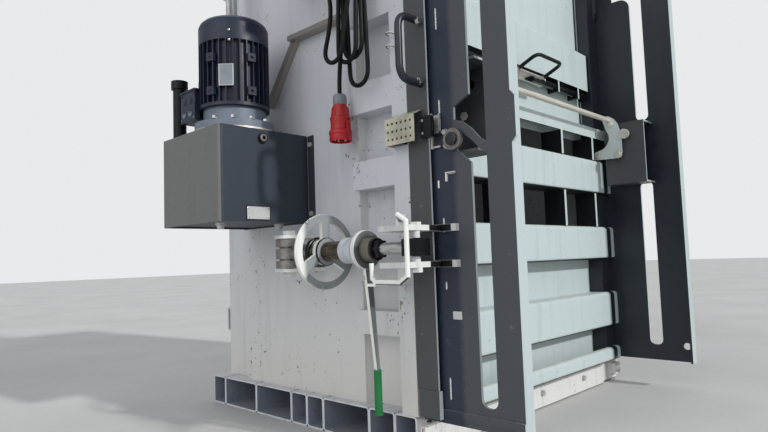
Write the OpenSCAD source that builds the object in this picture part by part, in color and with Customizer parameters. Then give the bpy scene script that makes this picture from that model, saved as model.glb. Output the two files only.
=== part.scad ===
// Vertical recycling baler: welded body on a row of rectangular tubes, a ribbed door with
// side wings, a lifting gate, a rack of press parts above and a power pack on the left wall.
// Lengths are millimetres. The front faces -Y and Z points up.
// Sizes are laid out from the body's front left bottom corner and moved to the base centre.

/* [Body] */
// Width of the body over both side walls
body_w = 1240; // [1220:5:1280]
// Width of the narrow base tubes
narrow_w = 80; // [78:1:84]
// Width of the wide base tubes that take the lift forks
pocket_w = 200; // [195:1:210]
// Height of the base tubes
base_h = 100; // [96:1:101]
// Wall thickness of the base tubes
tube_t = 5; // [4:0.5:8]
// Height of the side walls' top edge
wall_top = 1850; // [1845:1:1870]
// Sheet thickness of the side walls
sheet_t = 6; // [4:0.5:7]
// Thickness of the smooth liners inside the chamber
liner_t = 8; // [6:0.5:8]
/* [Door] */
// Gap on each side between the door's plug and the liners
plug_gap = 8; // [7:0.5:12]
// Thickness of the door's sheet
door_t = 6; // [4:0.5:6]
// How far the door's ribs stand in front of the body's corner
rib_out = 35; // [30:1:40]
// Thickness of the wing plates
wing_t = 8; // [6:0.5:10]
// How far the wings reach in front of the body's corner
wing_out = 317; // [300:1:325]
// Width of the wings' front flange
wing_flange = 40; // [36:1:50]
/* [Gate] */
// How far the gate lifts
gate_lift = 450; // [440:1:452]
// Diameter of the latch shaft
latch_d = 28; // [24:1:29]
// Diameter of the bail's cross rod
bail_d = 19; // [16:1:24]
/* [Lock] */
// Diameter of the lock's screw
screw_d = 32; // [28:1:34]
// Diameter of the handwheel
wheel_d = 216; // [200:1:220]
// Radial clearance of turning sleeves
run_gap = 0.5; // [0.4:0.1:1]
/* [Power pack] */
// Depth of the oil tank from the wall
tank_x = 300; // [290:1:320]
// Height of the oil tank
tank_h = 285; // [270:1:285]
// Diameter over the motor's fins
motor_d = 222; // [205:1:225]
/* [Press] */
// Outer diameter of the press cylinder
barrel_d = 160; // [150:1:180]
// Diameter of the press rod
press_d = 80; // [70:1:90]
/* [Cord] */
// Diameter of the mains cord
cord_d = 13; // [10:0.5:13]

/* [Hidden] */
$fn = 32;
paint_white = [0.82, 0.83, 0.83];
paint_dark = [0.24, 0.25, 0.26];
paint_light = [0.72, 0.77, 0.76];
zinc = [0.72, 0.71, 0.68];
steel = [0.5, 0.5, 0.49];
black = [0.06, 0.06, 0.07];
tube_w = [narrow_w, 100, pocket_w, narrow_w, narrow_w, pocket_w, pocket_w, narrow_w];
function run(i) = i == 0 ? 0 : run(i - 1) + tube_w[i - 1];
tube_y = [for (i = [0:8]) run(i)];
body_d = tube_y[8];
col_w = 85;
liner_x = col_w + liner_t;
plug_x = liner_x + plug_gap;
plug_front = -14;
plug_back = 46;
skin_y = plug_back - door_t;
stile_top = 1780;
side_t = 6;
seam = 0.3;
rear_y = 998;
root_top = 1545;
wing_x = 16;
ledge_top = 1046;
rib_z = [[84, 136], [219, 355], [486, 615], [746, 880]];
bar_x = [170, 420, body_w - 420, body_w - 170];
hinge_x = body_w + 22;
hinge_y = -42;
hinge_z = [260, 820, 1380];
gate_z = ledge_top;
gate_h = 558;
gate_y = 40;
shaft_y = 12;
shaft_z = 1148;
bail_y = -118;
bail_z = 893;
bail_x = 116;
rod_y = -86;
rod_z = 1035;
roller_y = -152;
roller_z = 813;
roller_d = 56;
lock_x = -84;
lock_z = 542;
pin_y = 421;
block_y = -93;
tank_y = 456;
tank_d = 354;
tank_z = 925 - tank_h;
tank_top = 925;
wall_x = 30;
motor_x = -155;
motor_y = 600;
motor_top = 1219;
mid_x = body_w / 2;
mid_y = body_d / 2;
platen_z = wall_top - 240;
barrel_z = 1760;
barrel_top = 2760;
port_z = [2085, barrel_top - 60];
port_y = mid_y + barrel_d / 2 + 14;
cab_z = 1420;
cab_h = 400;
cab_y = 150;
cab_w = 300;
cab_d = 130;
plug_axis = [-30.5, 230];
plug_top = 1003;
saddle = [141, 1345];
strand = 13;
fold = 30;
lever_foot = lock_x + 30;

module place() translate([-body_w / 2, -body_d / 2, 0]) children();
module box(a, b) translate(a) cube(b - a);
module along_x(a, b) translate([a, 0, 0]) rotate([90, 0, 90]) linear_extrude(b - a) children();
module along_y(a, b) translate([0, b, 0]) rotate([90, 0, 0]) linear_extrude(b - a) children();
module along_z(a, b) translate([0, 0, a]) linear_extrude(b - a) children();
module rod_along_x(a, b, y, z, d) translate([a, y, z]) rotate([0, 90, 0]) cylinder(h = b - a, d = d);
module rod_along_y(a, b, x, z, d) translate([x, b, z]) rotate([90, 0, 0]) cylinder(h = b - a, d = d);
module rod_along_z(a, b, x, y, d) translate([x, y, a]) cylinder(h = b - a, d = d);
module both_sides() {
  children();
  translate([body_w, 0, 0]) mirror([1, 0, 0]) children();
}
module rect(x0, y0, x1, y1) translate([x0, y0]) square([x1 - x0, y1 - y0]);
module round_rect(x0, y0, x1, y1, r) {
  rect(x0 + r, y0, x1 - r, y1);
  rect(x0, y0 + r, x1, y1 - r);
  for (x = [x0 + r, x1 - r]) for (y = [y0 + r, y1 - r]) translate([x, y]) circle(r);
}
module hexagon(af) polygon([for (i = [0:5]) af / sqrt(3) * [cos(60 * i), sin(60 * i)]]);
module bolt_y(x, y, z, af) {
  along_y(y - af * 0.35 - 3, y - 3) translate([x, z]) hexagon(af);
  rod_along_y(y - 3, y, x, z, af * 1.25);
}
module bolt_x(x, y, z, af) {
  along_x(x - af * 0.35 - 3, x - 3) translate([y, z]) hexagon(af);
  rod_along_x(x - 3, x, y, z, af * 1.25);
}
module taper(a, ra, b, rb) {
  v = b - a;
  s = asin((ra - rb) / norm(v));
  t = atan2(v[1], v[0]);
  p = [cos(t + 90 - s), sin(t + 90 - s)];
  q = [cos(t - 90 + s), sin(t - 90 + s)];
  translate(a) circle(ra);
  translate(b) circle(rb);
  polygon([a + ra * p, b + rb * p, b + rb * q, a + ra * q]);
}

// Eight rectangular tubes side by side make the base
module base_tubes() color(paint_white) place() along_x(0, body_w) difference() {
  for (i = [0:7]) round_rect(tube_y[i], 0, tube_y[i + 1], base_h, 10);
  for (i = [0:7]) {
    round_rect(tube_y[i] + tube_t, tube_t, tube_y[i + 1] - tube_t, base_h - tube_t, 6);
  }
}

// Sill plate on the base's front, with the door's rest roller at its right end
module front_sill() color(paint_white) place() {
  box([20, -10, 5], [body_w - 140, -4, 70]);
  for (x = [395, 628, 929]) rod_along_y(-4, 0, x, 50, 26);
  box([body_w - 88, -8, 18], [body_w - 2, 0, 80]);
  for (x = [body_w - 84, body_w - 38]) box([x, -34, 30], [x + 6, -8, 72]);
  rod_along_x(body_w - 78, body_w - 38, -24, 52, 22);
}

module frame_bolts() color(zinc) place() {
  for (x = [395, 628, 929]) bolt_y(x, -10, 50, 16);
  for (y = [tank_y - 14, tank_y + tank_d + 14]) for (z = [tank_z + 30, tank_top - 30]) {
    bolt_x(wall_x - 4, y, z, 13);
  }
}

// Side wall: front column, ladder of pressed ribs, smooth panel and rear column
module side_frame() {
  ribs = [[304, 371], [455, 592], [719, 802], [943, 1032], [1210, 1296], [1480, 1560], [1700, 1780]];
  along_z(base_h, wall_top) difference() {
    rect(0, -6, col_w, 50);
    rect(sheet_t, sheet_t - 6, col_w - sheet_t, 50 - sheet_t);
  }
  along_z(base_h, wall_top) {
    rect(col_w + seam, 20, liner_x, 990);
    rect(60, 50 + seam, 60 + sheet_t, 219 + sheet_t);
    rect(wall_x, 219, 60, 219 + sheet_t);
    rect(wall_x, 219, wall_x + sheet_t, 830);
    rect(wall_x, 824, 60, 824 + sheet_t);
    rect(60, 824, 60 + sheet_t, 990);
    rect(60, 990 - sheet_t, col_w + seam, 990);
  }
  for (r = ribs) along_y(50, 219 - seam) difference() {
    rect(3, r[0], 60 - seam, r[1]);
    rect(3 + sheet_t, r[0] + sheet_t, 60, r[1] - sheet_t);
  }
  for (z = [base_h, 690, 1290, wall_top - 10]) {
    box([wall_x + sheet_t, 219 + sheet_t, z], [col_w + seam, 824, z + 10]);
  }
}
module side_frame_left() color(paint_white) place() side_frame();
module side_frame_right() color(paint_white) place() {
  translate([body_w, 0, 0]) mirror([1, 0, 0]) side_frame();
}

module chamber_floor() color(steel) place() {
  box([liner_x, 52, base_h], [body_w - liner_x, 990, base_h + 8]);
}

module rear_wall() color(paint_white) place() {
  box([60, 990, base_h], [body_w - 60, rear_y, wall_top]);
  for (z = [260, 700, 1140, 1580]) along_x(60, body_w - 60) difference() {
    round_rect(980, z, body_d - 2, z + 90, 8);
    rect(980, z - 1, rear_y, z + 91);
    rect(rear_y, z + 6, body_d - 2 - sheet_t, z + 84);
  }
}

module front_tie() color(paint_white) place() along_x(liner_x, body_w - liner_x) difference() {
  rect(70, wall_top - 100, 130, wall_top);
  rect(70 + sheet_t, wall_top - 100 + sheet_t, 130 - sheet_t, wall_top - sheet_t);
}

// Head beam over the chamber with the cylinder's seat in its middle
module press_crosshead() color(paint_white) place() difference() {
  union() {
    along_x(wall_x, body_w - wall_x) difference() {
      rect(mid_y - 130, wall_top, mid_y + 130, wall_top + 180);
      rect(mid_y - 118, wall_top + 12, mid_y + 118, wall_top + 168);
    }
    box([wall_x, mid_y - 130, wall_top], [wall_x + 12, mid_y + 130, wall_top + 180]);
    box([body_w - wall_x - 12, mid_y - 130, wall_top], [body_w - wall_x, mid_y + 130, wall_top + 180]);
    for (x = [mid_x - 190, mid_x + 178]) {
      box([x, mid_y - 118, wall_top + 12], [x + 12, mid_y + 118, wall_top + 168]);
    }
  }
  rod_along_z(wall_top - 1, wall_top + 181, mid_x, mid_y, barrel_d);
}

module press_cylinder() color(paint_dark) place() difference() {
  union() {
    rod_along_z(barrel_z, barrel_top, mid_x, mid_y, barrel_d);
    rod_along_z(wall_top + 180, wall_top + 210, mid_x, mid_y, barrel_d + 90);
    rod_along_z(barrel_top, barrel_top + 22, mid_x, mid_y, barrel_d - 20);
    for (z = port_z) rod_along_y(mid_y, port_y, mid_x, z, 40);
  }
  rod_along_z(barrel_z + 26, barrel_top - 8, mid_x, mid_y, barrel_d - 34);
  rod_along_z(barrel_z - 1, barrel_z + 27, mid_x, mid_y, press_d + 2);
}

module press_rod() color(steel) place() {
  rod_along_z(platen_z + 92, barrel_top - 70, mid_x, mid_y, press_d);
  rod_along_z(barrel_top - 70, barrel_top - 30, mid_x, mid_y, barrel_d - 36);
}

module press_platen() color(paint_dark) place() {
  px = liner_x + 8;
  box([px, 62, platen_z], [body_w - px, 980, platen_z + 16]);
  for (x = [px, mid_x - 220, mid_x + 208, body_w - px - 12]) {
    box([x, 62, platen_z + 16], [x + 12, 980, platen_z + 80]);
  }
  for (y = [62, mid_y - 100, mid_y + 88, 968]) {
    box([px, y, platen_z + 16], [body_w - px, y + 12, platen_z + 80]);
  }
  rod_along_z(platen_z + 16, platen_z + 92, mid_x, mid_y, press_d + 60);
}

// Bent sheet tank with a flange at each side for the wall bolts
module oil_tank() color(paint_dark) place() {
  along_z(tank_z, tank_top) difference() {
    round_rect(-tank_x, tank_y, wall_x, tank_y + tank_d, 14);
    round_rect(4 - tank_x, tank_y + 4, wall_x - 4, tank_y + tank_d - 4, 10);
  }
  for (z = [tank_z + 6, tank_top - 4]) along_z(z, z + 4) {
    round_rect(3 - tank_x, tank_y + 3, wall_x - 3, tank_y + tank_d - 3, 11);
  }
  box([wall_x - 4, tank_y - 28, tank_z], [wall_x, tank_y, tank_top]);
  box([wall_x - 4, tank_y + tank_d, tank_z], [wall_x, tank_y + tank_d + 28, tank_top]);
}

module oil_filler() color(black) place() {
  rod_along_z(tank_top, 1100, -255, 775, 42);
  rod_along_z(1100, 1127, -255, 775, 54);
  rod_along_y(tank_y - 9, tank_y, -151, 898, 30);
  box([-212, tank_y - 2, tank_z + 6], [-128, tank_y, tank_z + 48]);
}

// Finned motor standing on its flange on the tank
module motor_body() color(paint_dark) place() translate([motor_x, motor_y, 0]) {
  difference() {
    union() {
      cylinder_at(tank_top, tank_top + 34, 250);
      cylinder_at(tank_top + 34, 1005, motor_d - 26);
      cylinder_at(1005, 1015, motor_d);
      cylinder_at(motor_top - 8, motor_top, motor_d);
      along_z(1015, motor_top - 8) intersection() {
        circle(d = motor_d);
        union() {
          circle(d = motor_d - 26);
          for (i = [0:31]) rotate(i * 11.25) rect(0, -1.5, motor_d, 1.5);
        }
      }
      for (z = [1037, 1143]) for (a = [-161, -94]) rotate(a) {
        box([motor_d / 2 - 10, -14, z], [motor_d / 2 + 5, 14, z + 26]);
      }
    }
    cylinder_at(1120, motor_top + 1, 30);
  }
}
module cylinder_at(a, b, d) translate([0, 0, a]) cylinder(h = b - a, d = d);

module fan_cover() color(paint_dark) place() translate([motor_x, motor_y, 0]) difference() {
  rotate_extrude() polygon([
    [motor_d / 2 - 3, motor_top], [motor_d / 2, motor_top], [motor_d / 2, motor_top + 50],
    [motor_d / 2 - 5, motor_top + 62], [motor_d / 2 - 15, motor_top + 71],
    [motor_d / 2 - 31, motor_top + 75], [0, motor_top + 75], [0, motor_top + 72],
    [motor_d / 2 - 32, motor_top + 72], [motor_d / 2 - 17, motor_top + 68],
    [motor_d / 2 - 8, motor_top + 60], [motor_d / 2 - 3, motor_top + 49]
  ]);
  for (i = [0:11]) rotate(i * 30) along_z(motor_top + 66, motor_top + 76) {
    round_rect(30, -4, 74, 4, 3.9);
  }
}

module motor_rotor() color(steel) place() translate([motor_x, motor_y, 0]) {
  cylinder_at(1125, motor_top + 58, 28);
  cylinder_at(motor_top + 10, motor_top + 50, 60);
  for (i = [0:7]) rotate(i * 45) {
    box([26, -2, motor_top + 12], [90, 2, motor_top + 46]);
  }
}

module terminal_box() color(paint_dark) place() difference() {
  union() {
    box([-274, 640, 972], [-190, 730, 1068]);
    box([-277, 637, 1068], [-187, 733, 1074]);
  }
  translate([motor_x, motor_y, 0]) cylinder_at(960, 1110, motor_d + 2 * seam);
  for (z = [1000, 1040]) rod_along_x(-275, -270, 670, z, 22);
}

// Two pipes from the power pack to the cylinder's ports
module pipe_line(p, d, ball = 1) for (i = [0:len(p) - 2]) {
  v = p[i + 1] - p[i];
  translate(p[i]) rotate([0, acos(v[2] / norm(v)), atan2(v[1], v[0])]) cylinder(h = norm(v), d = d);
  if (i < len(p) - 2) translate(p[i + 1]) sphere(d = d * ball);
}
module hydraulic_pipes() color(steel) place() {
  box([-105, 724, tank_top], [-10, 800, tank_top + 60]);
  for (k = [0, 1]) let (x = [-80, -40][k], y = [745, 778][k], z = port_z[k]) {
    pipe_line([[x, y, tank_top + 60], [x, y, z], [mid_x, y, z], [mid_x, port_y, z]], 22);
  }
  for (z = [1150, 1600]) box([-92, 729, z], [wall_x, 786, z + 16]);
}

// Flat cable duct and round conduit on the left wall
module cable_duct() color(paint_dark) place() {
  along_x(-4, wall_x) polygon([[514, 1255], [514, 1271], [252, 1268], [252, 1252]]);
  along_x(wall_x - 20, wall_x) polygon([[486, 1255], [514, 1255], [662, 1070], [640, 1054]]);
}

// Switch cabinet above the cord hook
module control_cabinet() color(paint_white) place() {
  difference() {
    box([-cab_d, cab_y, cab_z], [0, cab_y + cab_w, cab_z + cab_h]);
    box([-cab_d - 1, cab_y + 3, cab_z + 3], [-3, cab_y + cab_w - 3, cab_z + cab_h - 3]);
  }
  for (z = [cab_z + 30, cab_z + cab_h - 60]) box([0, 230, z], [wall_x, 400, z + 30]);
  rod_along_z(cab_z - 18, cab_z, -82.5, 236, 26);
  for (z = cab_hinge) {
    rod_along_z(z - 24, z + 24, cab_pin[0], cab_pin[1], 5);
    for (k = [z - 24, z + 9.4]) {
      rod_along_z(k, k + 14.6, cab_pin[0], cab_pin[1], 10);
      box([cab_pin[0], cab_pin[1] - 2, k], [20 - cab_d, cab_pin[1] + 1, k + 14.6]);
    }
  }
}

cab_pin = [-cab_d - 6, cab_y + cab_w + 2];
cab_hinge = [cab_z + 60, cab_z + cab_h - 60];
door_x = -cab_d - 1;
btn_y = cab_y + cab_w / 2;
btn_z = [cab_z + 110, cab_z + 200, cab_z + 300];
module cabinet_door() color(paint_white) place() difference() {
  union() {
    for (z = cab_hinge) {
      rod_along_z(z - 9.2, z + 9.2, cab_pin[0], cab_pin[1], 10);
      box([cab_pin[0] - 1, cab_pin[1] - 22, z - 9.2], [door_x - 3, cab_pin[1] - 2.8, z + 9.2]);
    }
    box([door_x - 3, cab_y + 2, cab_z + 2], [door_x, cab_pin[1] - 5.8, cab_z + cab_h - 2]);
    for (z = btn_z) rod_along_x(door_x - 7, door_x - 3, btn_y, z, 34);
    rod_along_x(door_x - 11, door_x - 3, btn_y + 80, btn_z[2], 24);
  }
  for (z = btn_z) rod_along_x(door_x - 8, door_x + 1, btn_y, z, 25);
  for (z = cab_hinge) rod_along_z(z - 10, z + 10, cab_pin[0], cab_pin[1], 5 + 2 * run_gap);
}
module push_button(z, head) {
  rod_along_x(door_x - 14, door_x + 14, btn_y, z, 23);
  rod_along_x(door_x - 24, door_x - 14, btn_y, z, head);
  rod_along_x(door_x + 8, door_x + 14, btn_y, z, 31);
}
module start_button() color([0.1, 0.5, 0.2]) place() push_button(btn_z[1], 24);
module stop_button() color([0.8, 0.1, 0.08]) place() push_button(btn_z[0], 40);
module main_switch() color(black) place() {
  rod_along_x(door_x - 22, door_x + 10, btn_y, btn_z[2], 23);
  box([door_x - 38, btn_y - 6, btn_z[2] - 24], [door_x - 22, btn_y + 6, btn_z[2] + 24]);
}

// Hinges: frame knuckles above and below each door knuckle
module hinge_brackets() color(steel) place() for (z = hinge_z) {
  box([body_w, 2, z - 60], [body_w + 12, 72, z + 60]);
  for (k = [z - 60, z + 20]) difference() {
    union() {
      along_z(k, k + 40) polygon([
        [hinge_x - 14, hinge_y + 30], [body_w + 8, 2], [body_w + 12, 30],
        [hinge_x + 16, hinge_y + 10], [hinge_x + 16, hinge_y], [hinge_x, hinge_y]
      ]);
      rod_along_z(k, k + 40, hinge_x, hinge_y, 36);
    }
    rod_along_z(k - 1, k + 41, hinge_x, hinge_y, 20);
  }
  rod_along_z(z - 64, z + 64, hinge_x, hinge_y, 20);
}

// Door stile: plate beside the column, face plate and the plug's cheek
module stile(low) {
  box([0, -78, 105 + low], [side_t, plug_front + door_t, stile_top]);
  box([-2, -81, 105], [12, -15, 176]);
  along_z(104, stile_top) rect(side_t, plug_front, plug_x + door_t, plug_front + door_t);
  along_z(104, ledge_top) rect(plug_x, plug_front + door_t, plug_x + door_t, skin_y);
  along_z(ledge_top, stile_top) rect(plug_x, plug_front + door_t, plug_x + door_t, 32);
}
module door_stile_left() color(paint_dark) place() stile(71);
module door_stile_right() color(paint_dark) place() {
  translate([body_w, 0, 0]) mirror([1, 0, 0]) stile(71);
  for (z = hinge_z) difference() {
    union() {
      rod_along_z(z - 19.4, z + 19.4, hinge_x, hinge_y, 36);
      box([body_w, hinge_y - 18, z - 19.4], [hinge_x, hinge_y - 2, z + 19.4]);
    }
    rod_along_z(z - 20, z + 20, hinge_x, hinge_y, 20 + 2 * run_gap);
  }
}

// Door skin with two rows of view windows between upright bars
module door_skin() color(paint_light) place() {
  for (b = [[104, 616], [746, 880], [968, ledge_top]]) {
    box([plug_x, skin_y, b[0]], [body_w - plug_x, plug_back, b[1]]);
  }
  for (b = [[616, 746], [880, 968]]) both_sides() {
    box([plug_x, skin_y, b[0]], [plug_x + 26, plug_back, b[1]]);
  }
  for (b = [[615, 746], [880, 968]]) for (x = bar_x) {
    box([x - 7, -rib_out, b[0]], [x + 7, plug_back, b[1]]);
  }
}

// Four pressed ribs across the door
module rib_profile(z) difference() {
  round_rect(-rib_out, z[0], 60, z[1], 14);
  round_rect(door_t - rib_out, z[0] + door_t, 80, z[1] - door_t, 9);
  rect(skin_y, z[0] - 1, 90, z[1] + 1);
}
module rib_front(z) difference() {
  rib_profile(z);
  rect(plug_front, z[0] - 1, 90, z[1] + 1);
}
module door_ribs() color(paint_light) place() for (i = [0:3]) {
  z = rib_z[i];
  if (i == 0) {
    along_x(wing_x + wing_t, body_w - wing_x - wing_t) rib_front(z);
  } else {
    along_x(wing_x + wing_t, body_w - wing_x - wing_t) rib_front(z);
    along_x(plug_x + door_t, body_w - plug_x - door_t) difference() {
      rib_profile(z);
      rect(-90, z[0] - 1, plug_front, z[1] + 1);
    }
  }
}

module ledge_profile() polygon([
  [-rib_out, 968], [door_t - rib_out, 968], [door_t - rib_out, 1005], [skin_y, 1039],
  [skin_y, ledge_top], [-rib_out, 1009]
]);
module door_ledge() color(paint_light) place() {
  along_x(50, body_w - 50) intersection() {
    ledge_profile();
    rect(-90, 900, plug_front, 1100);
  }
  along_x(plug_x + door_t, body_w - plug_x - door_t) intersection() {
    ledge_profile();
    rect(plug_front, 900, skin_y, 1100);
  }
}

// Wing plates: a root plate and a front post with slots between them
module root_window(y) difference() {
  rect(y - 20, root_top - 60, plug_front + 1, stile_top);
  round_rect(y, root_top - 200, plug_front - 10, root_top, 40);
}
module wing_left() color(paint_dark) place() {
  along_x(wing_x, wing_x + wing_t) difference() {
    polygon([
      [plug_front, 95], [-wing_out, 95], [-wing_out, 780], [-wing_out - 12, 794],
      [-wing_out - 12, 890], [-wing_out, 905], [-wing_out, 1860], [plug_front, 1860]
    ]);
    difference() {
      union() {
        round_rect(-245, 150, -198, 1780, 20);
        polygon([[-199, 922], [-150, 898], [-148, 800], [-156, 786], [-199, 747]]);
      }
      polygon([
        [-140, 868], [-172, 858], [-202, 834], [-226, 806], [-260, 782],
        [-260, 754], [-226, 778], [-202, 804], [-172, 830], [-140, 842]
      ]);
    }
    root_window(-198);
  }
  box([wing_x + wing_t, -wing_out, 95], [wing_x + wing_flange, -wing_out + wing_t, 1860]);
  box([wing_x - 4, -wing_out, 111], [wing_x, -80, 130]);
}
module wing_right() color(paint_dark) place() translate([body_w, 0, 0]) mirror([1, 0, 0]) {
  along_x(wing_x, wing_x + wing_t) difference() {
    rect(-wing_out, 92, plug_front, 1860);
    round_rect(-204, 150, -156, 785, 20);
    round_rect(-204, 1033, -156, 1780, 20);
    translate([-290, 150]) circle(13);
    root_window(-156);
  }
  box([wing_x + wing_t, -wing_out, 92], [wing_x + wing_flange, -wing_out + wing_t, 1860]);
}

// Channel brackets that carry the bail's pivots
module bail_brackets() color(paint_dark) place() both_sides() {
  along_y(-215, -60) polygon([
    [wing_x + wing_t, 778], [112, 778], [112, 1018], [wing_x + wing_t, 1018],
    [wing_x + wing_t, 1012], [106, 1012], [106, 784], [wing_x + wing_t, 784]
  ]);
  rod_along_x(112, bail_x + 16, bail_y, bail_z, 20);
  rod_along_x(bail_x + 10, bail_x + 16, bail_y, bail_z, 30);
}

module bail_levers() color(paint_dark) place() both_sides() difference() {
  along_x(bail_x, bail_x + 8) difference() {
    union() {
      polygon([
        [-60, 1040], [-68, 1052], [-86, 1052], [-106, 1038], [-121, 1016], [-130, 985],
        [-134, 950], [-134, 900], [-128, 886], [-116, 879], [-20, 884], [-22, 906], [-84, 960]
      ]);
      translate([-34, 900]) circle(14);
      translate([-146, 970]) circle(16);
    }
    translate([-36, 966]) circle(47);
  }
  rod_along_x(bail_x - 1, bail_x + 9, bail_y, bail_z, 20 + 2 * run_gap);
}
module bail_rod() color(zinc) place() {
  rod_along_x(bail_x + 8, body_w - bail_x - 8, rod_y, rod_z, bail_d);
  both_sides() {
    rod_along_x(bail_x + 8, bail_x + 22, -146, 970, 38);
    rod_along_x(bail_x + 8, bail_x + 14, -34, 900, 14);
  }
}

// Free roller on the left wing's outer side
module wing_roller() color(zinc) place() difference() {
  rod_along_x(1, 11, roller_y, roller_z, roller_d);
  rod_along_x(0, 12, roller_y, roller_z, 24 + 2 * run_gap);
}

// Pull handle on the door's left side plate, with the wing roller's stub and its plate
grip_z = [976, 1147];
module door_handle() color(black) place() {
  pipe_line([
    [0, -58, grip_z[0]], [-34, -58, grip_z[0]], [-60, -58, grip_z[0] + 9], [-76, -58, grip_z[0] + 26],
    [-82, -58, grip_z[0] + 50], [-82, -58, grip_z[1] - 50], [-76, -58, grip_z[1] - 26],
    [-60, -58, grip_z[1] - 9], [-34, -58, grip_z[1]], [0, -58, grip_z[1]]
  ], 20, 1.04);
  rod_along_x(-3, wing_x, roller_y, roller_z, 24);
  rod_along_x(-6, -3, roller_y, roller_z, 34);
  box([12, roller_y - 14, roller_z - 14], [wing_x, -80, roller_z + 14]);
  box([12, -108, 799], [wing_x, -80, 889]);
}

// Lock lugs on the door and the guides that carry the gate
module lock_lugs() color(paint_white) place() {
  for (z = [492, 583]) {
    box([-128, -106, z], [-3, -8, z + 14]);
    box([-3, -78, z], [0, -8, z + 14]);
    box([2, -152, z - 2], [wing_x, -81, z + 16]);
  }
  for (z = [[597, 604], [480, 492]]) along_z(z[0], z[1]) translate([lock_x, block_y]) hexagon(26);
  rod_along_z(565, 583, lock_x, block_y, 22);
  rod_along_z(506, 519, lock_x, block_y, 22);
}

module gate_guides() color(paint_dark) place() both_sides() along_z(gate_z, 2060) difference() {
  rect(plug_x, 32, plug_x + 14, 56);
  rect(plug_x + 4, gate_y - 1.5, plug_x + 15, gate_y + door_t + 1.5);
}
module gate_panel() color(paint_light) place() {
  box([plug_x + 6, gate_y, gate_z], [body_w - plug_x - 6, gate_y + door_t, gate_z + gate_h]);
}
module gate_beam() color(paint_light) place() {
  along_x(118, body_w - 118) difference() {
    polygon([[-5, 1170], [40, 1170], [40, 1356], [-5, 1319]]);
    polygon([[0, 1175], [36, 1175], [36, 1345], [0, 1316]]);
  }
  for (x = [200, mid_x - 150, mid_x + 250, body_w - 210]) difference() {
    box([x, -6, shaft_z - 22], [x + 10, 40, 1170]);
    rod_along_x(x - 1, x + 11, shaft_y, shaft_z, latch_d + 2 * run_gap);
  }
}

// Latch shaft under the beam with a hook cam near each end
module latch_shaft() color(black) place() {
  rod_along_x(124, body_w - 124, shaft_y, shaft_z, latch_d);
  both_sides() rod_along_x(124, 134, shaft_y, shaft_z, latch_d + 12);
}
sleeve_x = [575, 770];
module latch_handle() color(zinc) place() {
  difference() {
    union() {
      rod_along_x(sleeve_x[0], sleeve_x[1], shaft_y, shaft_z, 38);
      pipe_line([
        [sleeve_x[0] + 15, shaft_y, shaft_z], [sleeve_x[0] + 15, -80, 1189],
        [sleeve_x[1] - 10, -80, 1189], [sleeve_x[1] - 10, shaft_y, shaft_z]
      ], 13, 1.06);
    }
    rod_along_x(sleeve_x[0] - 1, sleeve_x[1] + 1, shaft_y, shaft_z, latch_d);
  }
}

// Clevis on the left wall that holds the lock's eye
module clevis_bracket() color(paint_white) place() {
  for (z = [[587, 597], [486, 496]]) along_z(z[0], z[1]) difference() {
    union() {
      rect(lock_x, pin_y - 44, wall_x, pin_y + 44);
      translate([lock_x, pin_y]) circle(44);
    }
    translate([lock_x, pin_y]) circle(12);
  }
  rod_along_z(470, 612, lock_x, pin_y, 24);
  for (z = [[597, 611], [472, 486]]) along_z(z[0], z[1]) translate([lock_x, pin_y]) hexagon(36);
}
module lock_eye() color(steel) place() difference() {
  union() {
    for (z = [[498, 520], [526, 557], [563, 585]]) rod_along_z(z[0], z[1], lock_x, pin_y, 82);
    rod_along_z(498, 585, lock_x, pin_y, 60);
    rod_along_y(346, pin_y - 22, lock_x, lock_z, 52);
  }
  rod_along_z(490, 590, lock_x, pin_y, 24 + 2 * run_gap);
}
module lock_screw() color(steel) place() {
  rod_along_y(block_y + 26, 346, lock_x, lock_z, screw_d);
  rod_along_y(112, 160, lock_x, lock_z, 68);
  rod_along_y(94, 112, lock_x, lock_z, 56);
}
module trunnion_block() color(black) place() {
  box([lock_x - 25, block_y - 24, 521], [lock_x + 25, block_y + 26, 563]);
}
module handwheel() color(paint_white) place() difference() {
  union() {
    translate([lock_x, 252, lock_z]) rotate([90, 0, 0]) rotate_extrude() {
      translate([wheel_d / 2 - 22, -6]) square([20, 12]);
      translate([wheel_d / 2 - 4, 0]) circle(r = 4);
    }
    for (a = [30, 150, 270]) translate([lock_x, 252, lock_z]) rotate([0, a, 0]) {
      box([20, -6, -14], [wheel_d / 2 - 10, 6, 14]);
    }
    rod_along_y(240, 296, lock_x, lock_z, 76);
    rod_along_y(163, 240, lock_x, lock_z, 54);
  }
  rod_along_y(150, 300, lock_x, lock_z, screw_d + 2 * run_gap);
}
module lock_lever() color(paint_white) place() difference() {
  union() {
    rod_along_y(46, 90, lock_x, lock_z, 64);
    rod_along_y(80, 90, lock_x, lock_z, 104);
    along_y(80, 90) polygon([
      [lock_x - 13, lock_z], [lever_foot - 6, 222], [lever_foot + 6, 222], [lock_x + 13, lock_z]
    ]);
  }
  rod_along_y(40, 100, lock_x, lock_z, screw_d + 2 * run_gap);
}
module lever_grip() color([0.1, 0.55, 0.3]) place() {
  rod_along_z(112, 222, lever_foot, 85, 21);
  rod_along_z(104, 112, lever_foot, 85, 25);
}

// Round bar loop bolted to the column in front of the lock
module spindle_guard() color(paint_white) place() {
  pipe_line([
    [-6, 30, 620], [-150, -96, 620], [-150, -122, 604], [-150, -122, 474], [-150, -96, 458],
    [-134, 2, 458], [-132, 14, 468], [-132, 16, 506]
  ], 12, 1.06);
  box([-141, -4, 448], [0, 24, 455]);
  for (z = [590, 446]) box([-6, 6, z], [0, 44, z + 44]);
}

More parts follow.
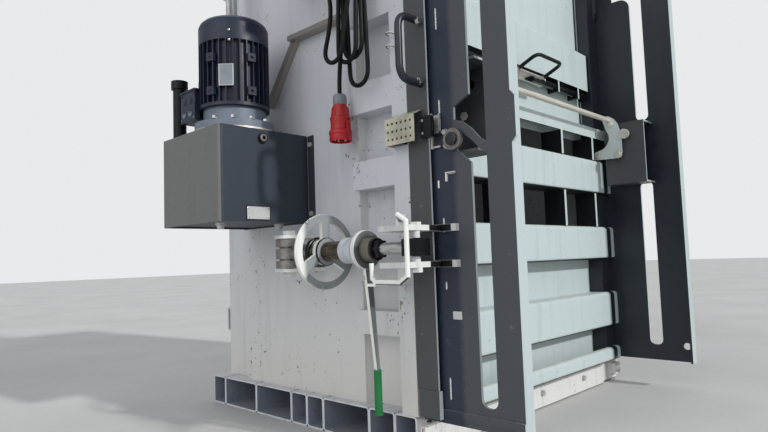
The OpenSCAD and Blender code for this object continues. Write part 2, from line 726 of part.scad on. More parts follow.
// Door switch under its bent perforated guard
module door_switch() color(black) place() difference() {
  box([-22, -4, 822], [0, 34, 888]);
  rod_along_y(-5, 30, -11, 855, 9);
}
module switch_plunger() color(zinc) place() {
  rod_along_y(-26, 20, -11, 855, 8);
  rod_along_y(-30, -26, -11, 855, 13);
}
module switch_guard() color(zinc) place() difference() {
  union() {
    box([-38, -60, 819], [-35, 44, 891]);
    box([-38, 41, 819], [0, 44, 891]);
    along_y(-60, 44) polygon([[-38, 891], [-35, 891], [-4, 904], [-4, 907]]);
    box([-4, 8, 891], [0, 44, 907]);
  }
  for (y = [-48:16:32]) for (z = [834, 855, 876]) rod_along_x(-40, -30, y, z, 7);
}

module cord_hook() color(steel) place() {
  rod_along_x(-93, -22, saddle[0], saddle[1], 2 * fold - 0.6);
  along_x(-22, -16) {
    rect(saddle[0] - 18, saddle[1], cab_y + 60, cab_z);
    translate(saddle) circle(50);
  }
}

// Mains cord: lead-in from the cabinet, hank over the hook and the drop to the plug
module hank_outline(c) difference() {
  taper(saddle, fold + strand, c, fold + strand + 0.1);
  taper(saddle, fold, c, fold + 0.1);
}
hank_c = [[194, 1117], [150, 1110], [138, 1122], [131, 1043]];
module mains_cord_hank() color(black) place() for (i = [0:3]) {
  along_x(-89 + i * strand, -76 + i * strand) hank_outline(hank_c[i]);
}
function tangent(p, i) = p[min(i + 1, len(p) - 1)] - p[max(i - 1, 0)];
function unit(v) = v / norm(v);
function ring(c, t, r, n) = let (u = unit(cross(t, [1, 0, 0.01])), w = unit(cross(t, u)))
  [for (k = [0:n - 1]) c + r * (cos(360 * k / n) * u + sin(360 * k / n) * w)];
module swept_cord(p, d) {
  n = 10;
  last = len(p) - 1;
  polyhedron(
    points = [for (i = [0:last]) each ring(p[i], tangent(p, i), d / 2, n)],
    faces = concat(
      [[for (k = [0:n - 1]) k]],
      [for (i = [0:last - 1]) for (k = [0:n - 1])
        [i * n + k, (i + 1) * n + k, (i + 1) * n + (k + 1) % n, i * n + (k + 1) % n]],
      [[for (k = [n - 1:-1:0]) last * n + k]]
    ),
    convexity = 4
  );
}
lead_points = [
  [-82.5, 236, 1402], [-82.5, 236, 1385], [-82.5, 235, 1365], [-82.5, 232, 1340],
  [-82.5, 226, 1310], [-82.5, 219, 1280], [-82.5, 213, 1250], [-82.5, 210, 1225]
];
drop_points = [
  [-37, 185, 1320], [-36, 189, 1290], [-34, 196, 1250], [-32, 204, 1210], [-31, 212, 1170],
  [-30.5, 219, 1130], [-30.5, 225, 1090], [-30.5, 229, 1050], [-30.5, 230, 1025], [-30.5, 230, 1003]
];
module mains_cord_top() color(black) place() swept_cord(lead_points, cord_d);
module mains_cord_drop() color(black) place() swept_cord(drop_points, cord_d);
module mains_plug() color([0.75, 0.1, 0.08]) place() translate([plug_axis[0], plug_axis[1], 0]) {
  cylinder_at(plug_top - 30, plug_top, 34);
  translate([0, 0, plug_top - 62]) cylinder(h = 32, d1 = 58, d2 = 44);
  cylinder_at(plug_top - 108, plug_top - 62, 62);
  difference() {
    cylinder_at(plug_top - 139, plug_top - 108, 70);
    cylinder_at(plug_top - 140, plug_top - 112, 60);
  }
  for (i = [0:4]) rotate(i * 72) translate([18, 0, 0]) cylinder_at(plug_top - 136, plug_top - 108, 7);
}

base_tubes();
front_sill();
frame_bolts();
side_frame_left();
side_frame_right();
chamber_floor();
rear_wall();
front_tie();
press_crosshead();
press_cylinder();
press_rod();
press_platen();
oil_tank();
oil_filler();
motor_body();
fan_cover();
motor_rotor();
terminal_box();
hydraulic_pipes();
cable_duct();
control_cabinet();
cabinet_door();
start_button();
stop_button();
main_switch();
hinge_brackets();
door_stile_left();
door_stile_right();
door_skin();
door_ribs();
door_ledge();
wing_left();
wing_right();
bail_brackets();
bail_levers();
bail_rod();
wing_roller();
door_handle();
lock_lugs();
gate_guides();
gate_panel();
gate_beam();
latch_shaft();
latch_handle();
clevis_bracket();
lock_eye();
lock_screw();
trunnion_block();
handwheel();
lock_lever();
lever_grip();
spindle_guard();
door_switch();
switch_plunger();
switch_guard();
cord_hook();
mains_cord_top();
mains_cord_hank();
mains_cord_drop();
mains_plug();
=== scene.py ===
import math
import random

import bmesh
import bpy
from mathutils import Matrix, Vector


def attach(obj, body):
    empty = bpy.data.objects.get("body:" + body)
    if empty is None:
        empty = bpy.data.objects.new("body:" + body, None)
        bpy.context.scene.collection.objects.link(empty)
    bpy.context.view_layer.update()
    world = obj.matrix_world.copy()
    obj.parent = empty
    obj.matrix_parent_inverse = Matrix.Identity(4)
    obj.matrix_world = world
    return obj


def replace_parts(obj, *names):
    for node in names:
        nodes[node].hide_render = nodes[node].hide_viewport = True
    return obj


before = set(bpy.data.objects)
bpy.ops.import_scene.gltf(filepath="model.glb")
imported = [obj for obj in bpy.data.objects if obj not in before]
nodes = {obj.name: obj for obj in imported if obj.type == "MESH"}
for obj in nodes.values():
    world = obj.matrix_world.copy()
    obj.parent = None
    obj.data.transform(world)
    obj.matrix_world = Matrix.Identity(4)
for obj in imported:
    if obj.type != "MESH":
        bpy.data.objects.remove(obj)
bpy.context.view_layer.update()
print("frame loaded:", len(nodes), "parts")

base = {"width": 1240, "depth": 1020}  # millimetres, as in the part's source
bpy.context.scene.view_settings.view_transform = "Standard"


def spot(x, y, z):
    # a point counted from the body's front left bottom corner, in metres round the base centre
    return Vector(((x - base["width"] / 2) / 1000, (y - base["depth"] / 2) / 1000, z / 1000))


def paintColour(r, g, b):
    return tuple(((c / 255 + 0.055) / 1.055) ** 2.4 if c > 10 else c / 255 / 12.92 for c in (r, g, b)) + (1.0,)


def shaded(tone, part, lift=0):
    # a darker or duller mix of a tone
    return paintColour(*[c * part + lift for c in tone])


# camera: place in millimetres from the body's corner, angles in degrees
view = {"place": (-1191, -1057, 515), "yaw": 45.98, "pitch": 4.16, "roll": -1.954, "lens": 27.88,
        "sensor": 36, "near": 0.05, "far": 60}


def setCamera():
    data = bpy.data.cameras.new("camera")
    data.lens, data.sensor_width = view["lens"], view["sensor"]
    data.clip_start, data.clip_end = view["near"], view["far"]
    camera = bpy.data.objects.new("camera", data)
    bpy.context.scene.collection.objects.link(camera)
    yaw, pitch, roll = (math.radians(view[k]) for k in ("yaw", "pitch", "roll"))
    ahead = Vector((math.sin(yaw) * math.cos(pitch), math.cos(yaw) * math.cos(pitch), math.sin(pitch)))
    level = Vector((math.cos(yaw), -math.sin(yaw), 0))
    upright = level.cross(ahead)
    right = level * math.cos(roll) + upright * math.sin(roll)
    up = upright * math.cos(roll) - level * math.sin(roll)
    turn = Matrix((right, up, -ahead)).transposed().to_4x4()
    camera.matrix_world = Matrix.Translation(spot(*view["place"])) @ turn
    bpy.context.scene.camera = camera


setCamera()
print("camera set")

# light and floor
studio = {
    "sunStrength": 1.9, "sunAngle": 3, "sunFrom": (0.15, -1.0, 0.56),
    "fillStrength": 0.7, "fillAngle": 60, "fillFrom": (-1.0, -0.15, 0.45),
    "sky": 0.54, "skyColour": (0.93, 0.96, 1.0, 1), "backdrop": 0.9, "backdropColour": (0.9, 0.91, 0.92, 1),
    "floorTone": (206, 205, 203), "floorCloud": (196, 195, 193), "floorSpeck": (150, 149, 146),
    "floorHalf": 30, "floorDrop": 0.0005,
}


def setStudio():
    world = bpy.data.worlds.new("studio")
    bpy.context.scene.world = world
    world.use_nodes = True
    tree = world.node_tree
    tree.nodes.clear()
    out = tree.nodes.new("ShaderNodeOutputWorld")
    seen = tree.nodes.new("ShaderNodeLightPath")
    mix = tree.nodes.new("ShaderNodeMixShader")
    tree.links.new(seen.outputs["Is Camera Ray"], mix.inputs[0])
    for slot, part in ((1, "sky"), (2, "backdrop")):
        glow = tree.nodes.new("ShaderNodeBackground")
        glow.inputs["Color"].default_value = studio[part + "Colour"]
        glow.inputs["Strength"].default_value = studio[part]
        tree.links.new(glow.outputs[0], mix.inputs[slot])
    tree.links.new(mix.outputs[0], out.inputs["Surface"])
    for name, strength, angle, source in (
        ("keyLight", studio["sunStrength"], studio["sunAngle"], studio["sunFrom"]),
        ("fillLight", studio["fillStrength"], studio["fillAngle"], studio["fillFrom"]),
    ):
        lamp = bpy.data.lights.new(name, "SUN")
        lamp.energy, lamp.angle = strength, math.radians(angle)
        holder = bpy.data.objects.new(name, lamp)
        holder.rotation_mode = "QUATERNION"
        holder.rotation_quaternion = Vector(source).to_track_quat("Z", "Y")
        bpy.context.scene.collection.objects.link(holder)
    mesh = bpy.data.meshes.new("floor")
    half = studio["floorHalf"]
    mesh.from_pydata([(-half, -half, 0), (half, -half, 0), (half, half, 0), (-half, half, 0)], [], [(0, 1, 2, 3)])
    floor = bpy.data.objects.new("floor", mesh)
    floor.location.z = -studio["floorDrop"]
    bpy.context.scene.collection.objects.link(floor)
    floor.data.materials.append(floorFinish())


class Finish:
    # a small helper that writes one procedural material
    def __init__(self, name):
        self.material = bpy.data.materials.new(name)
        self.material.use_nodes = True
        self.tree = self.material.node_tree
        self.shader = self.tree.nodes["Principled BSDF"]
        self.where = self.tree.nodes.new("ShaderNodeTexCoord")

    def node(self, kind, **inputs):
        made = self.tree.nodes.new(kind)
        for key, value in inputs.items():
            made.inputs[key.replace("_", " ")].default_value = value
        return made

    def join(self, a, b):
        self.tree.links.new(a, b)
        return b

    def noise(self, scale, detail=4.0, rough=0.55, stretch=(1, 1, 1)):
        shift = self.node("ShaderNodeMapping")
        shift.inputs["Scale"].default_value = stretch
        self.join(self.where.outputs["Object"], shift.inputs["Vector"])
        made = self.node("ShaderNodeTexNoise", Scale=scale, Detail=detail, Roughness=rough)
        self.join(shift.outputs[0], made.inputs["Vector"])
        return made.outputs[0]

    def ramp(self, source, low, high, a=0.0, b=1.0):
        made = self.node("ShaderNodeMapRange")
        made.inputs["From Min"].default_value, made.inputs["From Max"].default_value = low, high
        made.inputs["To Min"].default_value, made.inputs["To Max"].default_value = a, b
        self.join(source, made.inputs["Value"])
        return made.outputs[0]

    def both(self, a, b, how="MULTIPLY"):
        made = self.node("ShaderNodeMath")
        made.operation = how
        for slot, value in zip(made.inputs, (a, b)):
            if isinstance(value, (int, float)):
                slot.default_value = value
            else:
                self.join(value, slot)
        return made.outputs[0]

    def blend(self, amount, a, b):
        made = self.node("ShaderNodeMix")
        made.data_type = "RGBA"
        for slot, value in ((made.inputs[0], amount), (made.inputs[6], a), (made.inputs[7], b)):
            if isinstance(value, (int, float, tuple)):
                slot.default_value = value
            else:
                self.join(value, slot)
        return made.outputs[2]

    def axis(self, name, kind="Normal"):
        parts = self.node("ShaderNodeSeparateXYZ")
        self.join(self.where.outputs[kind], parts.inputs[0])
        return parts.outputs[name]

    def bump(self, height, strength, distance=0.001):
        made = self.node("ShaderNodeBump", Strength=strength, Distance=distance)
        self.join(height, made.inputs["Height"])
        self.join(made.outputs[0], self.shader.inputs["Normal"])

    def done(self, colour, metal=0.0, rough=None, roughSpread=(0.35, 0.6)):
        self.join(colour, self.shader.inputs["Base Color"])
        self.shader.inputs["Metallic"].default_value = metal
        if rough is None:
            rough = self.ramp(self.noise(35, 3), 0.3, 0.7, *roughSpread)
        if isinstance(rough, float):
            self.shader.inputs["Roughness"].default_value = rough
        else:
            self.join(rough, self.shader.inputs["Roughness"])
        return self.material


# shared by the finishes: where a face's painted sunlight and shade tone fades in, a band's soft edge and the levels
# in metres of the painted warm bounce light near the floor, the tone of a metal handle's dark grip, and the tone
# under which a plastic shines less
surface = {"facing": (0.45, 0.62), "bandEdge": 0.001, "bounceLevels": (0.75, 0.1), "gripTone": (18, 19, 21),
           "darkPlastic": 45, "darkGloss": 0.25}


def floorFinish():
    f = Finish("paleFloor")
    tone, cloud, speck = (paintColour(*studio[k]) for k in ("floorTone", "floorCloud", "floorSpeck"))
    tone = f.blend(f.ramp(f.noise(1.3, 5), 0.35, 0.65), tone, cloud)
    tone = f.blend(f.ramp(f.noise(60, 2), 0.62, 0.75, 0, 0.25), tone, speck)
    f.bump(f.noise(220, 2), 0.15)
    return f.done(tone, rough=0.75)


def paintFinish(name, tone, front=None, side=None, top=None, under=None, low=None, grime=0.35, chips=0.0,
                chipTone=(96, 62, 40), rough=(0.32, 0.5), peel=0.12, zone=None, bands=()):
    # sheet-metal paint: cloudy tone, rain streaks, dust specks, chips, and a painted sunlight and shade tone for each
    # way a face looks zone is (axis, start, end, tone, left faces only) and bands are (axis, low, high, tone), in
    # metres; most of them lay painted light and shade on a stretch, a few give a part its own colour
    f = Finish(name)
    colour = f.blend(f.ramp(f.noise(3.1, 4), 0.3, 0.7, 0, 0.5), paintColour(*tone), shaded(tone, 0.94))
    # low is a warm tone towards the bottom: painted bounce light from the floor
    if low:
        bounceGlow = f.ramp(f.axis("Z", "Object"), *surface["bounceLevels"])
        colour = f.blend(bounceGlow, colour, paintColour(*low))
    # faces that look forward, left, up or down get painted sunlight and shade tones
    for way, sign, shade in (("Y", -1, front), ("X", -1, side), ("Z", 1, top), ("Z", -1, under)):
        if shade:
            facing = f.ramp(f.both(f.axis(way), sign), *surface["facing"])
            colour = f.blend(facing, colour, paintColour(*shade))
    if zone:
        way, start, end, shade, sideOnly = zone
        part = f.ramp(f.axis(way, "Object"), start, end)
        if sideOnly:
            part = f.both(f.ramp(f.both(f.axis("X"), -1), *surface["facing"]), part)
        colour = f.blend(part, colour, paintColour(*shade))
    edge = surface["bandEdge"]
    for way, low, high, shade in bands:
        level = f.axis(way, "Object")
        part = f.both(f.ramp(level, low - edge, low + edge), f.ramp(level, high + edge, high - edge))
        colour = f.blend(part, colour, paintColour(*shade))
    streaks = f.ramp(f.noise(26, 5, 0.6, (1, 1, 0.07)), 0.52, 0.72, 0, grime)
    colour = f.blend(streaks, colour, shaded(tone, 0.72, 14))
    specks = f.ramp(f.noise(160, 3, 0.7), 0.66, 0.72, 0, grime)
    colour = f.blend(specks, colour, shaded(tone, 0.55, 12))
    if chips:
        flakes = f.ramp(f.noise(48, 6, 0.75), 0.66 - chips * 0.1, 0.69 - chips * 0.1)
        broken = f.both(flakes, f.ramp(f.noise(5, 2), 0.5, 0.56))
        colour = f.blend(broken, colour, paintColour(*chipTone))
    f.bump(f.noise(420, 2), peel, 0.0005)
    return f.done(colour, roughSpread=rough)


def metalFinish(name, tone, stain=(110, 92, 70), wear=0.3, rough=(0.25, 0.45), metal=0.9, brush=(1, 1, 1), dark=None):
    # plated or bare steel with patches, fine scratches and rust bloom; it is dark in front of the level in dark
    f = Finish(name)
    colour = f.blend(f.ramp(f.noise(18, 4, 0.6, brush), 0.35, 0.65), paintColour(*tone), shaded(tone, 0.8))
    bloom = f.ramp(f.noise(30, 6, 0.7), 0.56, 0.68, 0, wear)
    colour = f.blend(bloom, colour, paintColour(*stain))
    if dark:
        front = f.ramp(f.axis("Y", "Object"), dark, dark - surface["bandEdge"])
        colour = f.blend(front, colour, paintColour(*surface["gripTone"]))
    f.bump(f.noise(300, 3, 0.6, brush), 0.18, 0.0004)
    return f.done(colour, metal=metal, roughSpread=rough)


def plasticFinish(name, tone, rough=(0.3, 0.45), dust=0.25):
    # moulded plastic, cloudy and a little dusty
    f = Finish(name)
    if max(tone) < surface["darkPlastic"]:
        f.shader.inputs["Specular IOR Level"].default_value = surface["darkGloss"]
    colour = f.blend(f.ramp(f.noise(9, 4), 0.3, 0.7), paintColour(*tone), shaded(tone, 0.86))
    colour = f.blend(f.ramp(f.noise(120, 4, 0.7), 0.6, 0.75, 0, dust), colour, shaded(tone, 0.6, 70))
    f.bump(f.noise(500, 2), 0.1, 0.0003)
    return f.done(colour, roughSpread=rough)


# paints: base tone, then the painted sunlight and shade tones of faces that look forward, left, up or down
paints = {
    # bodyWhite: front faces a little lighter as painted sunlight, warmer towards the bottom as painted bounce light
    "bodyWhite": dict(tone=(208, 212, 218), front=(222, 222, 218), low=(212, 210, 206), grime=0.28, chips=0.5,
                      rough=(0.38, 0.55)),
    # lockWhite: front and top faces lighter as painted sunlight
    "lockWhite": dict(tone=(214, 216, 214), front=(236, 236, 232), top=(246, 246, 242), grime=0.4, chips=0.8,
                      chipTone=(84, 66, 52)),
    # doorDark: anthracite paint whose front and top faces are painted light grey as sunlight
    "doorDark": dict(tone=(72, 75, 80), front=(186, 200, 200), top=(150, 160, 160), grime=0.18, chips=0.25,
                     chipTone=(140, 140, 138)),
    # tubeWhite: inside the tubes the base, top and under tones are painted shade; the left rims and the bands on the
    # outer top, rear and right end keep the white paint, and the front band is a little lighter as painted sunlight
    "tubeWhite": dict(tone=(148, 156, 170), side=(214, 217, 221), top=(144, 150, 160), under=(74, 78, 86), grime=0.4,
                      chips=0.6,
                      bands=(("Z", 0.0975, 0.2, (204, 208, 212)), ("Y", 0.5085, 0.7, (206, 210, 213)),
                             ("Y", -0.7, -0.5085, (222, 222, 218)), ("X", 0.6165, 0.7, (206, 210, 213)))),
    # ribs: anthracite with front and top faces painted light grey as sunlight, the base, under and left faces painted
    # dark as shade, and a dark band near the right end as the right wing's painted shadow
    "ribLitAndShaded": dict(tone=(34, 38, 46), front=(196, 209, 209), top=(204, 214, 212), under=(16, 19, 24),
                     side=(20, 24, 32), grime=0.14, chips=0.25, chipTone=(120, 118, 112),
                     bands=(("X", 0.534, 0.568, (30, 36, 46)),)),
    # wingDark: front and top faces painted light as sunlight; the left faces behind the front post painted dark blue
    # as shade
    "wingDark": dict(tone=(74, 78, 84), front=(190, 202, 204), top=(150, 160, 160), grime=0.15, chips=0.2,
                     chipTone=(140, 140, 138), zone=("Y", -0.665, -0.648, (36, 46, 64), True)),
    # stileDark: front faces painted near white as a sunlit highlight on the plates' edges
    "stileDark": dict(tone=(74, 77, 80), front=(232, 238, 238), grime=0.2, chips=0.2, chipTone=(130, 130, 128)),
    # tankDark: the front face painted dark blue as shade, left and top faces lighter as painted reflected light, and
    # the left faces next to the wall painted dark as shade
    "tankDark": dict(tone=(70, 74, 80), front=(40, 50, 62), side=(112, 113, 111), top=(110, 112, 112), grime=0.15,
                     chips=0.2, rough=(0.48, 0.6), zone=("X", -0.66, -0.64, (46, 52, 60), True)),
    # motorDark: top faces lighter as painted light; below 996 mm the paint is a lighter blue-grey
    "motorDark": dict(tone=(27, 36, 54), top=(90, 98, 108), grime=0.12, rough=(0.35, 0.5), peel=0.3,
                      zone=("Z", 1.006, 0.996, (116, 126, 140), False)),
    # coverNavy: top faces lighter as painted light
    "coverNavy": dict(tone=(28, 38, 58), top=(70, 78, 90), grime=0.12, rough=(0.35, 0.5), peel=0.3),
    # ductGrey: front faces darker as painted shade, faces that look down lighter as painted bounce light
    "ductGrey": dict(tone=(128, 124, 118), front=(104, 106, 108), under=(150, 146, 140), grime=0.3, chips=0.2),
    # postNavy: front and top faces painted light grey as sunlight, left faces darker as shade
    "postNavy": dict(tone=(44, 50, 60), front=(186, 200, 200), side=(30, 37, 48), top=(150, 160, 160), grime=0.15),
    # bail levers: the right lever's left faces painted light grey as sunlight; the left lever keeps the dark paint
    "leverLitOnRight": dict(tone=(62, 66, 72), grime=0.15, zone=("X", 0.0, 0.1, (206, 216, 216), True)),
    # door skin, ledge and gate: anthracite with front and top faces painted light grey as sunlight, the base, under
    # and left faces painted dark as shade
    "doorLitAndShaded": dict(tone=(34, 38, 46), front=(196, 209, 209), top=(204, 214, 212), under=(16, 19, 24),
                      side=(20, 24, 32), grime=0.1, chips=0.15, chipTone=(120, 118, 112)),
    # guardWhite: top faces a little lighter as painted light, faces that look down painted dark as shade
    "guardWhite": dict(tone=(248, 248, 244), top=(252, 252, 248), under=(70, 72, 74), grime=0.25, chips=0.5,
                       chipTone=(84, 66, 52)),
    # wheelWhite: the wheel's front faces painted grey as shade, and its left part painted white on all faces as a
    # sunlit glare
    "wheelWhite": dict(tone=(246, 246, 240), front=(150, 156, 158), grime=0.4, chips=0.9, chipTone=(50, 46, 42),
                       zone=("X", -0.775, -0.79, (246, 246, 240), False)),
    # leverWhite: front faces painted dark grey as shade; the brown above about 500 mm is the hub's own colour
    "leverWhite": dict(tone=(240, 240, 234), front=(92, 98, 98), grime=0.3, chips=0.5, chipTone=(70, 62, 54),
                       zone=("Z", 0.49, 0.5, (116, 111, 100), False)),
    # ringGrey: front faces painted dark grey as shade
    "ringGrey": dict(tone=(226, 229, 226), front=(88, 93, 94), grime=0.4, chips=0.7, chipTone=(60, 54, 48)),
    "stileShade": dict(tone=(38, 44, 54), front=(36, 42, 52), side=(28, 34, 44), grime=0.15),
    # collarGrey: front faces a little darker as painted shade
    "collarGrey": dict(tone=(196, 202, 208), front=(170, 174, 176), grime=0.5, chips=0.9, chipTone=(62, 52, 44)),
}
# plated and bare steel
metals = {
    "oilSteel": dict(tone=(96, 88, 70), stain=(44, 38, 30), wear=0.7, rough=(0.22, 0.4), metal=0.7),
    "blackSteel": dict(tone=(40, 40, 42), stain=(110, 108, 100), wear=0.35, rough=(0.2, 0.4), metal=0.6),
    "zinc": dict(tone=(208, 210, 208), wear=0.3, metal=0.5),
    "latchZinc": dict(tone=(218, 214, 204), wear=0.25, metal=0.4, dark=-0.52),
    "rodZinc": dict(tone=(236, 232, 218), wear=0.06, metal=0.2, rough=(0.3, 0.4), brush=(0.12, 1, 1)),
    "yellowZinc": dict(tone=(214, 210, 188), stain=(160, 146, 108), wear=0.45, metal=0.4),
    "steel": dict(tone=(150, 148, 144), wear=0.5, rough=(0.35, 0.6)),
    "brightSteel": dict(tone=(214, 214, 212), wear=0.15, rough=(0.16, 0.3), brush=(1, 1, 6)),
}
# plastics, rubber and blank plates
plastics = {
    "blackGloss": dict(tone=(16, 17, 19), rough=(0.16, 0.28), dust=0.1),
    "handleBlack": dict(tone=(34, 40, 48), rough=(0.3, 0.42), dust=0.15),
    "blackPlastic": dict(tone=(26, 27, 29)),
    "greyPlastic": dict(tone=(138, 144, 152)),
    "cordBlack": dict(tone=(9, 9, 11), rough=(0.45, 0.6), dust=0.08),
    "plugRed": dict(tone=(186, 24, 30), rough=(0.28, 0.42)),
    "gripGreen": dict(tone=(16, 116, 58), rough=(0.35, 0.5)),
    "buttonGreen": dict(tone=(20, 120, 60)),
    "palePlate": dict(tone=(206, 210, 208), rough=(0.3, 0.4)),
}
finishes = {name: paintFinish(name, **look) for name, look in paints.items()}
finishes.update({name: metalFinish(name, **look) for name, look in metals.items()})
finishes.update({name: plasticFinish(name, **look) for name, look in plastics.items()})
setStudio()
print("finishes ready:", len(finishes))

# which finish each part of the frame wears
dress = {
    "tubeWhite": ["base_tubes"],
    "bodyWhite": ["front_sill", "side_frame_left", "side_frame_right", "rear_wall", "front_tie",
                  "press_crosshead", "control_cabinet", "cabinet_door"],
    "lockWhite": ["lock_lugs", "clevis_bracket"],
    "guardWhite": ["spindle_guard"],
    "wheelWhite": ["handwheel"],
    "leverWhite": ["lock_lever"],
    "wingDark": ["wing_left"],
    "doorDark": ["bail_brackets"],
    "postNavy": ["wing_right", "gate_guides"],
    "stileShade": ["door_stile_right"],
    "stileDark": ["door_stile_left"],
    "tankDark": ["oil_tank"],
    "ductGrey": ["cable_duct"],
    "coverNavy": ["fan_cover", "terminal_box"],
    "motorDark": ["motor_body", "press_cylinder", "press_platen"],
    "ribLitAndShaded": ["door_ribs"],
    "doorLitAndShaded": ["door_skin", "door_ledge", "gate_panel", "gate_beam"],
    "zinc": ["frame_bolts", "switch_plunger", "hydraulic_pipes"],
    "yellowZinc": ["switch_guard"],
    "brightSteel": ["lock_screw", "press_rod"],
    "rodZinc": ["bail_rod"],
    "latchZinc": ["latch_handle"],
    "leverLitOnRight": ["bail_levers"],
    "steel": ["wing_roller", "lock_eye", "hinge_brackets", "cord_hook", "motor_rotor", "chamber_floor"],
    "handleBlack": ["door_handle"],
    "blackGloss": ["latch_shaft", "trunnion_block"],
    "blackPlastic": ["door_switch", "oil_filler", "main_switch"],
    "gripGreen": ["lever_grip"],
    "buttonGreen": ["start_button"],
    "plugRed": ["stop_button", "mains_plug"],
    "cordBlack": ["mains_cord_top", "mains_cord_hank", "mains_cord_drop"],
}
softEdge = {"width": 0.0012, "segments": 1, "angle": 38, "smooth": 32}  # width in metres, angles in degrees


def dressParts():
    for finish, parts in dress.items():
        for part in parts:
            piece = nodes[part]
            piece.data.materials.clear()
            piece.data.materials.append(finishes[finish])
            smoothFaces(piece)
            if not part.startswith("mains"):
                roundEdges(piece, softEdge["width"])


def smoothFaces(piece):
    mesh = piece.data
    mesh.polygons.foreach_set("use_smooth", [True] * len(mesh.polygons))
    mesh.set_sharp_from_angle(angle=math.radians(softEdge["smooth"]))


def roundEdges(piece, width):
    made = piece.modifiers.new("edges", "BEVEL")
    made.width, made.segments, made.limit_method = width, softEdge["segments"], "ANGLE"
    made.angle_limit = math.radians(softEdge["angle"])
    made.use_clamp_overlap = True


dressParts()
print("parts dressed")

alongX, alongY, alongZ = 0, 1, 2  # axis numbers
boltHead = {"washer": 0.68, "washerHeight": 0.25, "sink": 0.2}  # shares of the head's size and height; sink in mm
# millimetres between ripples, then shares of a bead's half width
weldBead = {"step": 4, "mean": 0.9, "ripple": 0.2, "uneven": 0.06, "end": 0.55, "sides": 8}


def unitRing(side, other, sides):
    angles = [2 * math.pi * k / sides for k in range(sides)]
    return [side * math.cos(a) + other * math.sin(a) for a in angles]


def tubeFaces(rows, sides, closed=False):
    # quads between rows of points, with a cap at each end of an open tube
    faces = []
    for i in range(rows if closed else rows - 1):
        j = (i + 1) % rows
        for k in range(sides):
            m = (k + 1) % sides
            faces.append((i * sides + k, i * sides + m, j * sides + m, j * sides + k))
    if not closed:
        faces += [tuple(reversed(range(sides))), tuple(range((rows - 1) * sides, rows * sides))]
    return faces


